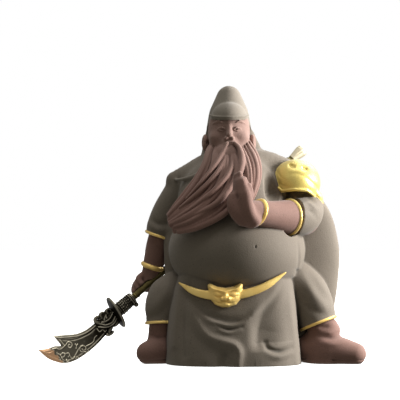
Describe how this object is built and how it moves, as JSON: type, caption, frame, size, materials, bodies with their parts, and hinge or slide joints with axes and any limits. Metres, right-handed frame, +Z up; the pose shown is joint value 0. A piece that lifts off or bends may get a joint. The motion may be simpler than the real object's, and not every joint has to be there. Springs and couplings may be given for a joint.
{
  "type": "guan yu statue",
  "caption": "Stout bearded warrior statue in a belted robe and tall cap, hand raised in salute, with a loose glaive held low behind the back.",
  "frame": {"origin": "on the ground, under the middle of the belly", "axes": "+Z up, -Y the way the figure faces, +X towards its left hand"},
  "size_m": [0.1473, 0.068, 0.125],
  "materials": {
    "clay": "unglazed, matt, with gilt lines and bands",
    "bronze": "antiqued cast alloy, dark hollows and rubbed high spots",
    "pole_bronze": "antiqued, smooth"
  },
  "bodies": {
    "root": {"clay_figure": "clay", "blade_head": "bronze", "pole": "pole_bronze"}
  },
  "joints": []
}
